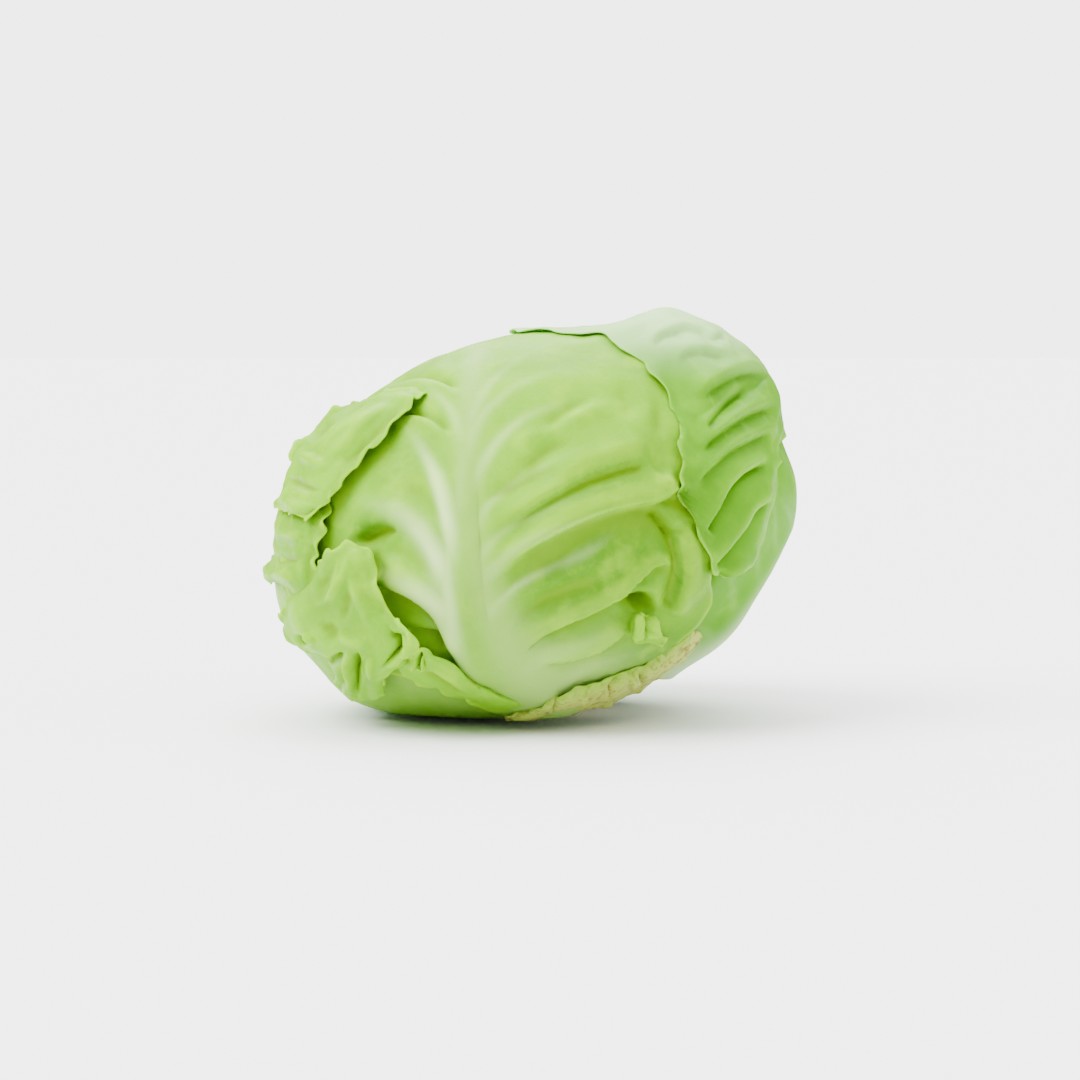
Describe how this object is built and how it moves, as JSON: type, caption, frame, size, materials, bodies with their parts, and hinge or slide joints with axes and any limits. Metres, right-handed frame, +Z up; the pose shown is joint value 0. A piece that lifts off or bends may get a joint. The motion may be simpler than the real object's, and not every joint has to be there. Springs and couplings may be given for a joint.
{
  "type": "green cabbage",
  "caption": "Trimmed flat green cabbage: a packed oblate head in loose ribbed outer leaves, one with a turned frilled margin, lying on its lower leaves beside its cut stem",
  "frame": {"origin": "on the surface that the cabbage lies on, under the middle of its bounding box", "axes": "+X to the viewer's right in the front view, along the long side of the head; +Y away from the viewer; +Z up. The stem axis leans 19.5 degrees from +Z towards -X at its top."},
  "size_m": [0.1738, 0.1705, 0.1342],
  "materials": {
    "inner_leaf_pale": null,
    "stem_white": null,
    "outer_leaf_green": null,
    "deep_leaf_green": null
  },
  "bodies": {
    "root": {"packed_head": "inner_leaf_pale", "cut_stem": "stem_white", "leaf_front": "outer_leaf_green", "leaf_over_top": "deep_leaf_green", "leaf_right": "deep_leaf_green", "leaf_left": "deep_leaf_green", "leaf_under": "deep_leaf_green", "leaf_back": "deep_leaf_green"}
  },
  "joints": []
}
